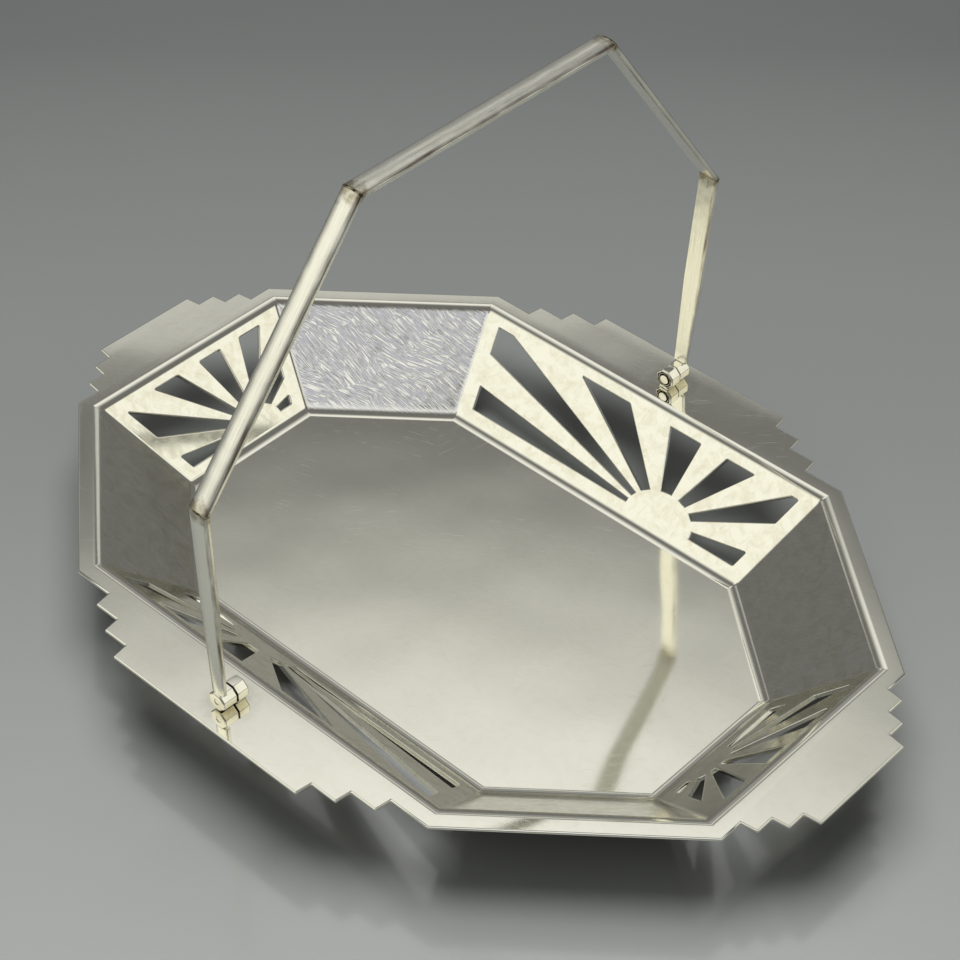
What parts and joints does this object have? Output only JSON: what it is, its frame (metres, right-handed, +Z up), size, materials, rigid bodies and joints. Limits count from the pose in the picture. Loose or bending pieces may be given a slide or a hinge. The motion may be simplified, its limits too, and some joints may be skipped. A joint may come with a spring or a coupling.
{
  "type": "swing-handled basket",
  "caption": "Shallow octagonal basket in plated metal with pierced sunburst walls, a stepped flat rim and a swing handle of mitred strip.",
  "frame": {"origin": "centre of the floor's underside, on the surface that the basket stands on", "axes": "+X along the basket's length, +Y across it along the hinge axis, +Z up; the handle leans 2.2 degrees towards +X at rest"},
  "size_m": [0.28, 0.205, 0.1694],
  "materials": {
    "bowl": "polished silver plate, finely scratched, tarnished in the corners",
    "lug_left": "polished silver plate with dark joints",
    "lug_right": "polished silver plate with dark joints",
    "pin_left": "worn silver plate, slightly greyed",
    "pin_right": "worn silver plate, slightly greyed",
    "eye_left": "polished silver plate with dark joints",
    "eye_right": "polished silver plate with dark joints",
    "leg_left": "polished silver plate, brushed along its length",
    "leg_right": "polished silver plate, brushed along its length",
    "shoulder_left": "polished silver plate, straw-coloured at its soldered ends",
    "shoulder_right": "polished silver plate, straw-coloured at its soldered ends",
    "handle_top": "polished silver plate, straw-coloured at its soldered ends"
  },
  "bodies": {
    "basket": {"bowl": "bowl", "lug_left": "lug_left", "lug_right": "lug_right"},
    "handle": {"handle_top": "handle_top", "shoulder_left": "shoulder_left", "shoulder_right": "shoulder_right", "leg_left": "leg_left", "leg_right": "leg_right", "eye_left": "eye_left", "eye_right": "eye_right", "pin_left": "pin_left", "pin_right": "pin_right"}
  },
  "joints": [
    {"name": "handle_swing", "type": "hinge", "parent": "basket", "child": "handle", "pos_m": [0, 0, 0.0283], "axis": [0, 1, 0], "range_deg": [-91.7, 87.3]}
  ]
}
